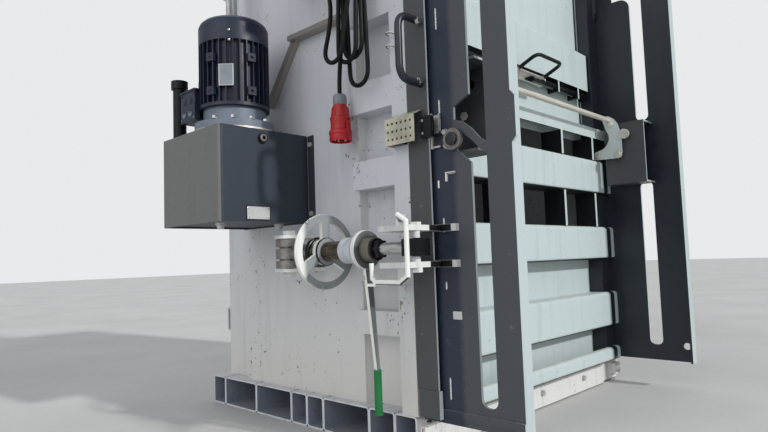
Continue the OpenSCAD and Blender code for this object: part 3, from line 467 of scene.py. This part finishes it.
class Shape:
    # collects faces in millimetres from the body's corner, then becomes one piece
    def __init__(self):
        self.bm = bmesh.new()

    def add(self, points, faces):
        verts = [self.bm.verts.new(spot(*p)) for p in points]
        for f in faces:
            self.bm.faces.new([verts[i] for i in f])

    def block(self, low, high):
        (a, b, c), (d, e, f) = low, high
        self.add([(a, b, c), (d, b, c), (d, e, c), (a, e, c), (a, b, f), (d, b, f), (d, e, f), (a, e, f)],
                 [(3, 2, 1, 0), (4, 5, 6, 7), (0, 1, 5, 4), (1, 2, 6, 5), (2, 3, 7, 6), (3, 0, 4, 7)])

    def blocks(self, pairs):
        for low, high in pairs:
            self.block(low, high)

    def prism(self, outline, axis, low, high):
        # outline is the two other coordinates, in X, Y, Z order
        area = sum(p[0] * q[1] - q[0] * p[1] for p, q in zip(outline, outline[1:] + outline[:1]))
        if (area > 0) != (axis != alongY):
            outline = outline[::-1]
        count = len(outline)
        points = []
        for level in (low, high):
            for u, v in outline:
                points.append(((level, u, v), (u, level, v), (u, v, level))[axis])
        faces = [tuple(reversed(range(count))), tuple(range(count, 2 * count))]
        faces += [(i, (i + 1) % count, (i + 1) % count + count, i + count) for i in range(count)]
        self.add(points, faces)

    def turned(self, profile, centre, axis, sides):
        # profile is (radius, level along the axis) from one end to the other
        points = []
        x, y, z = centre
        for radius, level in profile:
            for i in range(sides):
                a = 2 * math.pi * i / sides
                u, v = radius * math.cos(a), radius * math.sin(a)
                points.append(((level, y + u, z + v), (x + v, level, z + u), (x + u, y + v, level))[axis])
        self.add(points, tubeFaces(len(profile), sides))

    def hexHead(self, centre, axis, size, height, sign):
        # size is measured over the flats; sign says which way the head stands out
        reach = size / 2 / math.cos(math.pi / 6)
        start = centre[axis]
        u, v = (c for k, c in enumerate(centre) if k != axis)
        corners = [(u + reach * math.cos(i * math.pi / 3), v + reach * math.sin(i * math.pi / 3)) for i in range(6)]
        low, high = sorted((start, start + sign * height))
        self.prism(corners, axis, low, high)
        low, high = sorted((start - sign * boltHead["sink"], start + sign * height * boltHead["washerHeight"]))
        self.turned([(size * boltHead["washer"], low), (size * boltHead["washer"], high)], centre, axis, 20)

    def bar(self, route, diameter, sides, closed=False):
        # round bar or cord along points
        points = [Vector(p) for p in route]
        count = len(points)
        verts, side = [], None
        for i, p in enumerate(points):
            if closed:
                ahead = (points[(i + 1) % count] - points[i - 1]).normalized()
            else:
                ahead = (points[min(i + 1, count - 1)] - points[max(i - 1, 0)]).normalized()
            if side is None:  # any direction across the first run will do
                side = ahead.cross(Vector((0.13, 0.29, 0.95))).normalized()
            side = (side - ahead * side.dot(ahead)).normalized()
            verts += [p + way * diameter / 2 for way in unitRing(side, ahead.cross(side), sides)]
        self.add(verts, tubeFaces(count, sides, closed))

    def bead(self, a, b, width):
        # a weld bead: a low half-round ripple from a to b
        a, b = Vector(a), Vector(b)
        steps = max(3, int((b - a).length / weldBead["step"]))
        rng = random.Random(int(a.length * 7 + b.length))
        route = [a.lerp(b, i / steps) for i in range(steps + 1)]
        ahead = (b - a).normalized()
        side = ahead.cross(Vector((0.3, 0.7, 0.65))).normalized()
        ring = unitRing(side, ahead.cross(side), weldBead["sides"])
        verts = []
        for i, p in enumerate(route):
            swell = weldBead["mean"] + weldBead["ripple"] * (i % 2)
            swell += rng.uniform(-weldBead["uneven"], weldBead["uneven"])
            r = width / 2 * swell * (weldBead["end"] if i in (0, steps) else 1)
            verts += [p + way * r for way in ring]
        self.add(verts, tubeFaces(steps + 1, len(ring)))

    def make(self, name, body, finish, edge=0.0):
        mesh = bpy.data.meshes.new(name)
        bmesh.ops.recalc_face_normals(self.bm, faces=self.bm.faces)
        self.bm.to_mesh(mesh)
        self.bm.free()
        piece = bpy.data.objects.new(name, mesh)
        bpy.context.scene.collection.objects.link(piece)
        mesh.materials.append(finishes[finish])
        smoothFaces(piece)
        if edge:
            roundEdges(piece, edge)
        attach(piece, body)
        return piece


def bent(points, radius, steps=5):
    # rounds the corners of a route
    points = [Vector(p) for p in points]
    out = [points[0]]
    for before, corner, after in zip(points, points[1:], points[2:]):
        a, b = (before - corner).normalized(), (after - corner).normalized()
        room = 0.48 * min((before - corner).length, (after - corner).length)  # a bend takes under half a straight
        cut = min(radius, room)
        start, end = corner + a * cut, corner + b * cut
        for i in range(steps + 1):
            t = i / steps
            out.append(start * (1 - t) ** 2 + corner * 2 * t * (1 - t) + end * t ** 2)
    out.append(points[-1])
    return out


# mains cord: four loops over the hook, then down to the plug
mains = {
    "diameter": 0.013, "exit": (-82.5, 236, 1402), "plug": (-30.5, 230, 1003), "saddle": (141, 1345, 36.5),
    "loops": ((194, 1117, 36.5), (150, 1110, 36.5), (138, 1122, 36.5), (131, 1043, 36.5)),
    "passes": (-82.5, -69.5, -56.5, -43.5, -30.5),
    "lead": ((236, 1402), (236, 1385), (234, 1362), (228, 1338), (218, 1312), (207, 1285), (201, 1258), (200, 1230),
             (204, 1200), (213, 1168)),
    "drop": ((-35, 185, 1320), (-33, 189, 1290), (-31.5, 196, 1250), (-31, 204, 1210), (-30.5, 212, 1170),
             (-30.5, 219, 1130), (-30.5, 225, 1090), (-30.5, 229, 1050), (-30.5, 230, 1025), (-30.5, 230, 1003)),
    "loopSteps": 14, "saddleSteps": 16, "lastTurn": 4, "segment": 12, "smoothing": 3,
}


def tangentTurn(centreA, radiusA, centreB, radiusB):
    # angle of the outer tangent from circle A to circle B, on the +Y side and on the -Y side
    (ya, za), (yb, zb) = centreA, centreB
    along = math.atan2(zb - za, yb - ya)
    lean = math.acos((radiusA - radiusB) / math.hypot(yb - ya, zb - za))
    return along + lean, along - lean


def cordRoute():
    ys, zs, rs = mains["saddle"]
    loops, passes = mains["loops"], mains["passes"]
    route = [(passes[0], y, z) for y, z in mains["lead"]]

    def arc(y, z, r, start, end, x0, x1, steps):
        for i in range(steps + 1):
            t = i / steps
            a = start + (end - start) * t
            shift = t * t * (3 - 2 * t)
            route.append((x0 + (x1 - x0) * shift, y + r * math.cos(a), z + r * math.sin(a)))

    def tangents(loop):
        # the straight run down to a loop, and the one back up from it
        y, z, r = loop
        both = tangentTurn((ys, zs), rs, (y, z), r)
        return max(both, key=math.cos), min(both, key=math.cos)

    for turn, loop in enumerate(loops):
        down, up = tangents(loop)
        while up > down:
            up -= 2 * math.pi
        arc(*loop, down, up, passes[turn], passes[turn], mains["loopSteps"])
        after = tangents(loops[turn + 1])[0] if turn + 1 < len(loops) else math.radians(mains["lastTurn"])
        while after > up:
            after -= 2 * math.pi
        arc(ys, zs, rs, up, after, passes[turn], passes[turn + 1], mains["saddleSteps"])
    return route + list(mains["drop"])


def hangCord():
    curve = bpy.data.curves.new("mainsCord", "CURVE")
    curve.dimensions = "3D"
    route = cordRoute()
    line = curve.splines.new("POLY")
    dense = [route[0]]
    for a, b in zip(route, route[1:]):
        parts = max(1, int((Vector(b) - Vector(a)).length / mains["segment"]))
        for i in range(1, parts + 1):
            dense.append(tuple(Vector(a).lerp(Vector(b), i / parts)))
    for _ in range(mains["smoothing"]):
        middle = [tuple((Vector(p) + 2 * Vector(q) + Vector(r)) / 4) for p, q, r in zip(dense, dense[1:], dense[2:])]
        dense = [dense[0], *middle, dense[-1]]
    line.points.add(len(dense) - 1)
    for point, p in zip(line.points, dense):
        point.co = (*spot(*p), 1)
    line.use_smooth = True
    curve.bevel_depth, curve.bevel_resolution, curve.use_fill_caps = mains["diameter"] / 2, 4, True
    cord = bpy.data.objects.new("mainsCord", curve)
    bpy.context.scene.collection.objects.link(cord)
    curve.materials.append(finishes["cordBlack"])
    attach(cord, "machine")
    length = sum((Vector(b) - Vector(a)).length for a, b in zip(dense, dense[1:])) / 1000
    print("cord length", round(length, 3))
    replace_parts(cord, "mains_cord_top", "mains_cord_hank", "mains_cord_drop")
    return cord, length


# plug: profiles are (radius, level counted from the cord's end)
plug = {
    "nut": ((9, 3), (17, 1), (20, -4), (20, -26), (18, -30)),
    "body": ((14, -28), (21, -31), (24, -40), (27, -60), (27.5, -66), (30.5, -68), (31, -74), (29.5, -80),
             (29.5, -104), (33.5, -107), (35, -110), (35, -118), (33.4, -120), (33.6, -137), (32.8, -139),
             (30.4, -139), (30, -113), (5, -112)),
    "pin": ((3.2, -112), (3.2, -133), (2, -136)),
    "nutRibs": 12, "nutRibWidth": 2.2, "bodyRibs": 10, "bodyRibWidth": 3, "pins": 5, "pinCircle": 17,
}


def makePlug():
    x, y, z = mains["plug"]

    def around(angle, radius, level):
        return (x + radius * math.cos(angle), y + radius * math.sin(angle), z + level)

    def lifted(profile):
        return [(radius, z + level) for radius, level in profile]

    nut = Shape()
    nut.turned(lifted(plug["nut"]), (x, y, 0), alongZ, 24)
    for i in range(plug["nutRibs"]):
        a = i * math.pi / 6
        nut.bar([around(a, 20, -5), around(a, 20, -26)], plug["nutRibWidth"], 6)
    nutPiece = nut.make("plugNut", "machine", "greyPlastic")
    body = Shape()
    body.turned(lifted(plug["body"]), (x, y, 0), alongZ, 40)
    for i in range(plug["bodyRibs"]):
        a = (i + 0.5) * math.pi / 5
        body.bar([around(a, 24.4, -38), around(a, 27.6, -64)], plug["bodyRibWidth"], 6)
    body.block((x - 7, y - 38, z - 118), (x + 7, y - 33, z - 84))
    bodyPiece = body.make("plugBody", "machine", "plugRed", 0.0005)
    pins = Shape()
    for i in range(plug["pins"]):
        px, py, _ = around(i * 2 * math.pi / 5, plug["pinCircle"], 0)
        pins.turned(lifted(plug["pin"]), (px, py, 0), alongZ, 12)
    pinPiece = pins.make("plugPins", "machine", "brightSteel")
    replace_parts(bodyPiece, "mains_plug")
    return [nutPiece, bodyPiece, pinPiece]


cord, cordLength = hangCord()
plugPieces = makePlug()
print("cord hung")

# lock: sleeve, collars, nut and rings on the spindle; profiles are (radius, Y), the nipple's (radius, Z)
lockParts = {
    "x": -84, "z": 542, "ringSides": 40,
    "sleeve": ((26, 240.5), (28.2, 239), (28.2, 210), (27.4, 208), (28.2, 206), (28.2, 166), (26, 163.2)),
    "hubRings": ((262, 271, 42.5), (275, 286, 43.5), (289, 295.6, 41)),
    "hubLip": ((31, 246.4), (40, 247), (40, 240.6), (31, 240.2)),
    "collar": ((30, 161.5), (35, 160.5), (35.6, 158), (35.6, 139), (34.4, 137), (35.6, 135), (35.6, 114),
               (34, 111.6), (30, 111)),
    "thinCollar": ((20, 110.5), (29, 110), (29, 95), (20, 94.2)),
    "leverRing": ((33, 79.8), (36, 76), (44, 74.5), (51, 77), (52.6, 80.2), (52.6, 89.8), (50, 92.5), (33, 90.2)),
    "nutFace": 44, "nutSize": 44, "nutHeight": 22,
    "washer": ((16.2, 20), (20, 21), (20, 24), (16.2, 24)),
    "threadStart": 300, "threadRadius": 16, "threadPoints": 190, "threadRise": 0.24, "threadWire": 1.4,
    "nipple": ((3.5, 585), (5, 586), (5, 590), (2.6, 592), (2.6, 596), (3.4, 597), (1.6, 600)),
    "nippleRows": (388, 446), "nippleOut": 26, "lugLows": (490, 581),
}


def makeLockParts():
    x, z = lockParts["x"], lockParts["z"]
    axis, sides = (x, 0, z), lockParts["ringSides"]
    sleeve = Shape()
    sleeve.turned(lockParts["sleeve"], axis, alongY, sides)
    sleeve.make("hubSleeve", "wheel", "oilSteel", 0.0004)
    rings = Shape()
    for near, far, r in lockParts["hubRings"]:
        rings.turned([(r - 3, near), (r, near + 1.6), (r, far - 1.6), (r - 3, far)], axis, alongY, sides)
    rings.turned(lockParts["hubLip"], axis, alongY, sides)
    rings.make("hubRings", "wheel", "blackSteel", 0.0004)
    collar = Shape()
    collar.turned(lockParts["collar"], axis, alongY, sides)
    collar.turned(lockParts["thinCollar"], axis, alongY, sides)
    collar.make("screwCollar", "lock", "collarGrey", 0.0004)
    ring = Shape()
    ring.turned(lockParts["leverRing"], axis, alongY, 48)
    ring.make("leverRing", "lever", "ringGrey", 0.0004)
    nut = Shape()
    nut.hexHead((x, lockParts["nutFace"], z), alongY, lockParts["nutSize"], lockParts["nutHeight"], -1)
    nut.turned(lockParts["washer"], axis, alongY, 24)
    nut.make("screwNut", "lock", "blackSteel", 0.0008)
    thread = Shape()
    points, radius = [], lockParts["threadRadius"]
    for i in range(lockParts["threadPoints"]):
        a = i * 2 * math.pi / 12
        y = lockParts["threadStart"] + i * lockParts["threadRise"]
        points.append((x + radius * math.cos(a), y, z + radius * math.sin(a)))
    thread.bar(points, lockParts["threadWire"], 5)
    thread.make("screwThread", "lock", "oilSteel")
    grease = Shape()
    for y in lockParts["nippleRows"]:
        grease.turned(lockParts["nipple"], (x + lockParts["nippleOut"], y, 0), alongZ, 14)
    grease.make("greaseNipples", "lock", "brightSteel")
    strips = Shape()
    for low in lockParts["lugLows"]:
        strips.block((-0.4, -137, low + 0.6), (1.9, -50, low + 17.4))
        strips.block((-46, -107.4, low + 2.2), (-2, -105.8, low + 15.8))
    strips.make("lugStrips", "door", "blackPlastic", 0.0006)


makeLockParts()
print("lock parts made")

# motor: plate, bolts, lifting eye and the flange's bright rim; turns are degrees round the motor's axis
motorParts = {
    "x": -155, "y": 600, "flangeTop": 959, "plateTurn": 225.5,
    "plate": (110.6, 112.8, 23, 1062, 1130), "plateFrame": (112.7, 113.0, 20, 1064, 1128),
    "padTurns": (199, 266), "padLevels": (1050, 1156), "padReach": 116.4, "padHole": 4.6, "padSink": 1.2,
    "rim": ((120, 925.3), (126.2, 925.3), (127, 927), (127, 934), (126, 936), (120, 936.4)),
    "boltTurns": (208, 236, 264, 292), "boltCircle": 117, "boltSize": (17, 10),
    "screwTurn": 231, "screwCircle": 112, "screwLevels": (1205, 1236),
    "eye": (-247, 648, 1090), "eyeRadius": 13, "eyeFoot": ((9, 1074), (9, 1077), (5, 1078.5), (5, 1080)),
    "knockout": ((10, -271.2), (12.6, -271.6), (12.6, -274.8), (10.4, -276.2), (4, -276.4)),
    "knockoutRows": (670, 708), "knockoutLevels": (1000, 1040),
    "boxScrew": ((3.6, -274), (3.6, -275.4), (2.4, -276.2)), "screwRows": (648, 722), "boxLevels": (982, 1060),
}


def aroundMotor(turn, radius, side=0.0):
    a = math.radians(turn)
    return (motorParts["x"] + radius * math.cos(a) - side * math.sin(a),
            motorParts["y"] + radius * math.sin(a) + side * math.cos(a))


def motorPlate(shape, near, far, half, low, high):
    # a flat plate that faces away from the motor's axis
    sides = ((near, -half), (near, half), (far, half), (far, -half))
    shape.prism([aroundMotor(motorParts["plateTurn"], reach, side) for reach, side in sides], alongZ, low, high)


def padHole(shape, turn, level):
    # a sunk black disc on a foot pad: painted shade that stands for a hole
    x, y = aroundMotor(turn, motorParts["padReach"])
    outX, outY = math.cos(math.radians(turn)), math.sin(math.radians(turn))
    radius, sink = motorParts["padHole"], motorParts["padSink"]
    ring = []
    for k in range(16):
        t = k * math.pi / 8
        u, w = radius * math.cos(t), radius * math.sin(t)
        ring.append((x - outY * u, y + outX * u, level + w))
    back = [(p[0] - outX * sink, p[1] - outY * sink, p[2]) for p in ring]
    caps = [tuple(range(16)), tuple(range(31, 15, -1))]
    shape.add(ring + back, caps + [(i, (i + 1) % 16, (i + 1) % 16 + 16, i + 16) for i in range(16)])


def makeMotorParts():
    centre = (motorParts["x"], motorParts["y"], 0)
    plate = Shape()
    motorPlate(plate, *motorParts["plate"])
    plate.make("motorPlate", "machine", "palePlate", 0.0008)
    lines = Shape()
    motorPlate(lines, *motorParts["plateFrame"])
    lines.make("plateFrame", "machine", "greyPlastic")
    holes = Shape()
    for turn in motorParts["padTurns"]:
        for level in motorParts["padLevels"]:
            padHole(holes, turn, level)
    holes.make("padHoles", "machine", "blackGloss")
    rim = Shape()
    rim.turned(motorParts["rim"], centre, alongZ, 64)
    rim.make("flangeRim", "machine", "rodZinc", 0.0004)
    bolts = Shape()
    for turn in motorParts["boltTurns"]:
        x, y = aroundMotor(turn, motorParts["boltCircle"])
        bolts.hexHead((x, y, motorParts["flangeTop"]), alongZ, *motorParts["boltSize"], 1)
    bolts.make("flangeBolts", "machine", "brightSteel", 0.0005)
    screws = Shape()
    for z in motorParts["screwLevels"]:
        x, y = aroundMotor(motorParts["screwTurn"], motorParts["screwCircle"])
        screws.turned([(1.0, z - 5), (4.6, z - 3), (5.2, z), (4.6, z + 3), (1.0, z + 5)], (x, y, 0), alongZ, 14)
    screws.make("coverScrews", "machine", "brightSteel")
    eye = Shape()
    x, y, z = motorParts["eye"]
    reach = motorParts["eyeRadius"]
    turns = [k * math.pi / 12 for k in range(24)]
    eye.bar([(x, y + reach * math.cos(t), z + reach * math.sin(t)) for t in turns], 6, 10, True)
    eye.turned(motorParts["eyeFoot"], (x, y, 0), alongZ, 16)
    eye.make("liftingEye", "machine", "zinc")
    knock = Shape()
    for z in motorParts["knockoutLevels"]:
        for y in motorParts["knockoutRows"]:
            knock.turned(motorParts["knockout"], (0, y, z), alongX, 24)
    for y in motorParts["screwRows"]:
        for z in motorParts["boxLevels"]:
            knock.turned(motorParts["boxScrew"], (0, y, z), alongX, 12)
    knock.make("terminalPlugs", "machine", "motorDark", 0.0004)


makeMotorParts()
print("motor parts made")

# tank: sight plug ring, blank plate, drain plugs and a weld line
tankParts = {
    "front": 456, "low": 640, "plug": (-151, 898), "plate": (-210, -130, 648, 686),
    "ring": ((11.5, -8.5), (11.5, -10.2), (10.5, -11), (6.5, -11.2)), "eye": ((6, -10.9), (5.8, -11.8), (3, -12.1)),
    "rivet": ((2.6, -3.0), (2.2, -3.9), (1.0, -4.3)), "rivetInset": 5,
    "drain": ((16, -0.3), (16, -6), (11, -7), (11, -17), (8, -19)), "drainSides": (-262, -52), "drainBack": 60,
    "welds": ((-294, 4, 643), (-296, 8, 921.5)), "weldEnd": 22,
}


def makeTankParts():
    y, z = tankParts["front"], tankParts["low"]

    def outFront(profile):
        return [(radius, y + out) for radius, out in profile]

    ring = Shape()
    px, pz = tankParts["plug"]
    ring.turned(outFront(tankParts["ring"]), (px, 0, pz), alongY, 32)
    eye = Shape()
    eye.turned(outFront(tankParts["eye"]), (px, 0, pz), alongY, 24)
    eye.make("sightEye", "machine", "blackGloss", 0.0003)
    ring.make("sightRing", "machine", "brightSteel", 0.0004)
    x0, x1, z0, z1 = tankParts["plate"]
    plate = Shape()
    plate.block((x0, y - 2.9, z0), (x1, y - 2.0, z1))
    plate.make("blankPlate", "machine", "palePlate", 0.0004)
    rivets = Shape()
    inset = tankParts["rivetInset"]
    for x in (x0 + inset, x1 - inset):
        for level in (z0 + inset, z1 - inset):
            rivets.turned(outFront(tankParts["rivet"]), (x, 0, level), alongY, 12)
    rivets.make("plateRivets", "machine", "brightSteel")
    drain = Shape()
    yd = y + tankParts["drainBack"]
    for x in tankParts["drainSides"]:
        drain.turned([(radius, z + down) for radius, down in tankParts["drain"]], (x, yd, 0), alongZ, 24)
        drain.hexHead((x, yd, z - 7), alongZ, 20, 9, -1)
    drain.make("drainPlugs", "machine", "zinc", 0.0004)
    seam = Shape()
    for x, back, level in tankParts["welds"]:
        seam.bead((x, y + back, level), (tankParts["weldEnd"], y + back, level), 5)
    seam.make("tankWelds", "machine", "tankDark")


makeTankParts()
print("tank parts made")

# door edge: handle bolts, clips, the switch's striker plate and small fittings
edgeParts = {
    "handleBolts": ((-12, -65, 1142), (-12, -65, 981)), "handleBolt": (17, 8),
    "plateBolts": ((12, -128, 800), (12, -124, 836)), "plateBolt": (13, 8),
    "switchScrew": ((4.2, -16.6), (4.2, -18.4), (3.2, -19.6)), "switchLevels": (838, 872), "clipLevels": (1102, 1139),
    "face": 15.6, "faceWelds": ((1113, 1172), (873, 925), (579, 616), (432, 452), (156, 211)),
    "inner": 6.4, "innerWelds": ((200, 420), (640, 780), (930, 1040), (1240, 1330)),
    "strikerStrap": (((4, -86, 797), (12, -81, 891)), ((8, -108, 799), (12, -86, 804))),
    "strikerTongue": ((11.2, -110), (12.2, -110), (12.2, -84), (11.2, -84)), "tongueLevels": (838, 886),
    "strikerLips": (((7, -109, 838), (11.6, -105, 888)), ((7, -109, 838), (11.6, -88, 843))),
    "switchHead": (((-17, -99, 827), (-0.6, -63, 883)), ((-14, -103, 840), (-4, -99, 870))),
    "stopClip": (((15.2, -148, 727), (15.9, -121, 733)), ((7, -150, 729), (15.9, -121, 731.5)),
                 ((9, -124, 708), (15.9, -120, 729))),
    "alignTick": (((13.6, -96, 694), (15.9, -91, 714)),),
    "blankLabel": (((15.3, -150, 358), (15.95, -122, 378)),),
}


def makeEdgeParts():
    bolts = Shape()
    for place in edgeParts["handleBolts"]:
        bolts.hexHead(place, alongY, *edgeParts["handleBolt"], -1)
    for place in edgeParts["plateBolts"]:
        bolts.hexHead(place, alongX, *edgeParts["plateBolt"], -1)
    bolts.make("handleBolts", "door", "brightSteel", 0.0005)
    striker = Shape()
    striker.blocks(edgeParts["strikerStrap"])
    striker.prism(edgeParts["strikerTongue"], alongZ, *edgeParts["tongueLevels"])
    striker.blocks(edgeParts["strikerLips"])
    striker.make("strikerPlate", "door", "zinc", 0.0006)
    head = Shape()
    head.blocks(edgeParts["switchHead"])
    head.make("switchHead", "door", "blackPlastic", 0.0025)
    screws = Shape()
    for z in edgeParts["switchLevels"]:
        screws.turned(edgeParts["switchScrew"], (0, -72, z), alongX, 16)
    screws.make("switchScrews", "door", "brightSteel")
    clip = Shape()
    for z in edgeParts["clipLevels"]:
        route = [(-1, 52, z), (-16, 50, z + 1), (-20, 38, z + 1), (-16, 27, z - 1), (-1, 26, z - 2)]
        clip.bar(bent(route, 8), 4.5, 8)
    clip.make("cableClips", "machine", "guardWhite")
    for name, finish, slot, edge in (
        ("stopClip", "guardWhite", "white_paint", 0.0005),
        ("alignTick", "guardWhite", "white_paint", 0.0005),
        ("blankLabel", "palePlate", "light_paint", 0.0002),
    ):
        small = Shape()
        small.blocks(edgeParts[name])
        small.make(name, "door", finish, edge)
    welds = Shape()
    for low, high in edgeParts["faceWelds"]:
        welds.bead((edgeParts["face"], -104, low), (edgeParts["face"], -104, high), 7)
    for low, high in edgeParts["innerWelds"]:
        welds.bead((edgeParts["inner"], -10.5, low), (edgeParts["inner"], -10.5, high), 6)
    welds.make("stitchWelds", "door", "stileDark")


makeEdgeParts()
print("door edge parts made")

# latch: a black piece under the sleeve as its painted shadow, collars at its ends, and the bail's bolts and rollers
latchParts = {
    "y": 12, "z": 1148, "camWidth": (640, 722), "sleeveEnds": ((575.5, -1), (769.5, 1)), "bail": (-118, 893),
    "cam": ((-4, -15), (-6, -14), (-40, -12), (-50, -22), (-46, -32), (-34, -34), (-20, -26)),
    "strapBolt": (116, -144, 972), "leftBolt": 111.8, "rightBolt": 1108,
}


def makeLatchParts():
    y, z = latchParts["y"], latchParts["z"]
    # a black piece in the outline of the shadow under the sleeve: painted shadow
    cam = Shape()
    cam.prism([(y + across, z + up) for across, up in latchParts["cam"]], alongX, *latchParts["camWidth"])
    cam.make("latchShadowBlob", "latch", "blackGloss", 0.003)
    caps = Shape()
    for x, out in latchParts["sleeveEnds"]:
        profile = [(19.4, x - out * 6), (21.5, x - out * 5), (21.5, x), (19, x + out * 1.4)]
        caps.turned(profile, (0, y, z), alongX, 28)
    caps.make("sleeveCollars", "latch", "zinc", 0.0004)
    by, bz = latchParts["bail"]
    left = Shape()
    left.hexHead(latchParts["strapBolt"], alongX, 24, 10, -1)
    left.hexHead((latchParts["leftBolt"], by, bz), alongX, 22, 8, -1)
    left.make("bailFitLeft", "door", "rodZinc", 0.0005)
    right = Shape()
    right.hexHead((latchParts["rightBolt"], by, bz), alongX, 22, 9, -1)
    right.turned([(11, 1115.6), (13, 1114), (13, 1106), (11, 1104)], (0, -36, 902), alongX, 20)
    right.turned([(8, 1115.6), (11, 1114), (11, 1110), (8, 1108)], (0, -92, 1018), alongX, 20)
    right.make("bailFitRight", "bail", "rodZinc", 0.0005)


makeLatchParts()
print("latch parts made")

# welds on the body and on the door's ribs
weldLines = {
    "bodyRibs": ((304, 371), (455, 592), (719, 802), (943, 1032), (1210, 1296)),
    "footStarts": (230, 510, 750), "footLength": 60, "cornerRuns": ((1, 4, 44), (61, 60, 110), (61, 150, 200)),
    "doorRibs": ((219, 355), (486, 615), (746, 880)), "doorEnds": (30, 1208), "width": 5,
}


def makeWelds():
    width = weldLines["width"]
    welds = Shape()
    for low, high in weldLines["bodyRibs"]:
        welds.bead((4, 51, low + 2), (4, 51, high - 2), width)
        welds.bead((6, 51.5, low), (56, 51.5, low), width)
        welds.bead((6, 51.5, high), (56, 51.5, high), width)
    for y in weldLines["footStarts"]:
        welds.bead((29.5, y, 101.5), (29.5, y + weldLines["footLength"], 101.5), width)
    for x, y0, y1 in weldLines["cornerRuns"]:
        welds.bead((x, y0, 101), (x, y1, 101), width)
    welds.make("bodyWelds", "machine", "bodyWhite")
    seams = Shape()
    for low, high in weldLines["doorRibs"]:
        for x in weldLines["doorEnds"]:
            seams.bead((x, -14.6, low + 4), (x, -14.6, high - 4), width)
    seams.make("ribWelds", "door", "doorDark")


makeWelds()
print("welds made")

# bent pipes that stand for the solids' short straight runs: the pull handle and the latch's loop
pipeParts = {
    "grip": (976, 1147), "gripPlane": -58, "gripReach": -82, "gripBend": 52, "gripWidth": 20, "stud": (0, -152, 813),
    "studPlates": (((12, -166, 799), (16, -80, 827)), ((12, -108, 827), (16, -80, 889))),
    "sleeve": (575, 770), "loopReach": (-80, 1189), "loopBend": 26, "loopWidth": 13,
}


def makeBentPipes():
    bottom, top = pipeParts["grip"]
    plane, reach, stud = pipeParts["gripPlane"], pipeParts["gripReach"], pipeParts["stud"]
    grip = Shape()
    corners = [(0, plane, bottom), (reach, plane, bottom), (reach, plane, top), (0, plane, top)]
    grip.bar(bent(corners, pipeParts["gripBend"], 12), pipeParts["gripWidth"], 20)
    grip.turned([(12, -3), (12, 16)], stud, alongX, 24)
    grip.turned([(15, -6), (17, -5), (17, -3)], stud, alongX, 28)
    grip.blocks(pipeParts["studPlates"])
    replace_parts(grip.make("bentGrip", "door", "handleBlack", 0.0004), "door_handle")
    left, right = pipeParts["sleeve"]
    loop = Shape()
    profile = [(15, left), (18, left), (19, left + 1), (19, right - 1), (18, right), (15, right)]
    loop.turned(profile, (0, latchParts["y"], latchParts["z"]), alongX, 32)
    out, up = pipeParts["loopReach"]
    corners = [(left + 15, 6, 1152), (left + 15, out, up), (right - 10, out, up), (right - 10, 6, 1152)]
    loop.bar(bent(corners, pipeParts["loopBend"], 8), pipeParts["loopWidth"], 14)
    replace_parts(loop.make("bentLoop", "latch", "latchZinc", 0.0004), "latch_handle")


makeBentPipes()
print("bent pipes made")
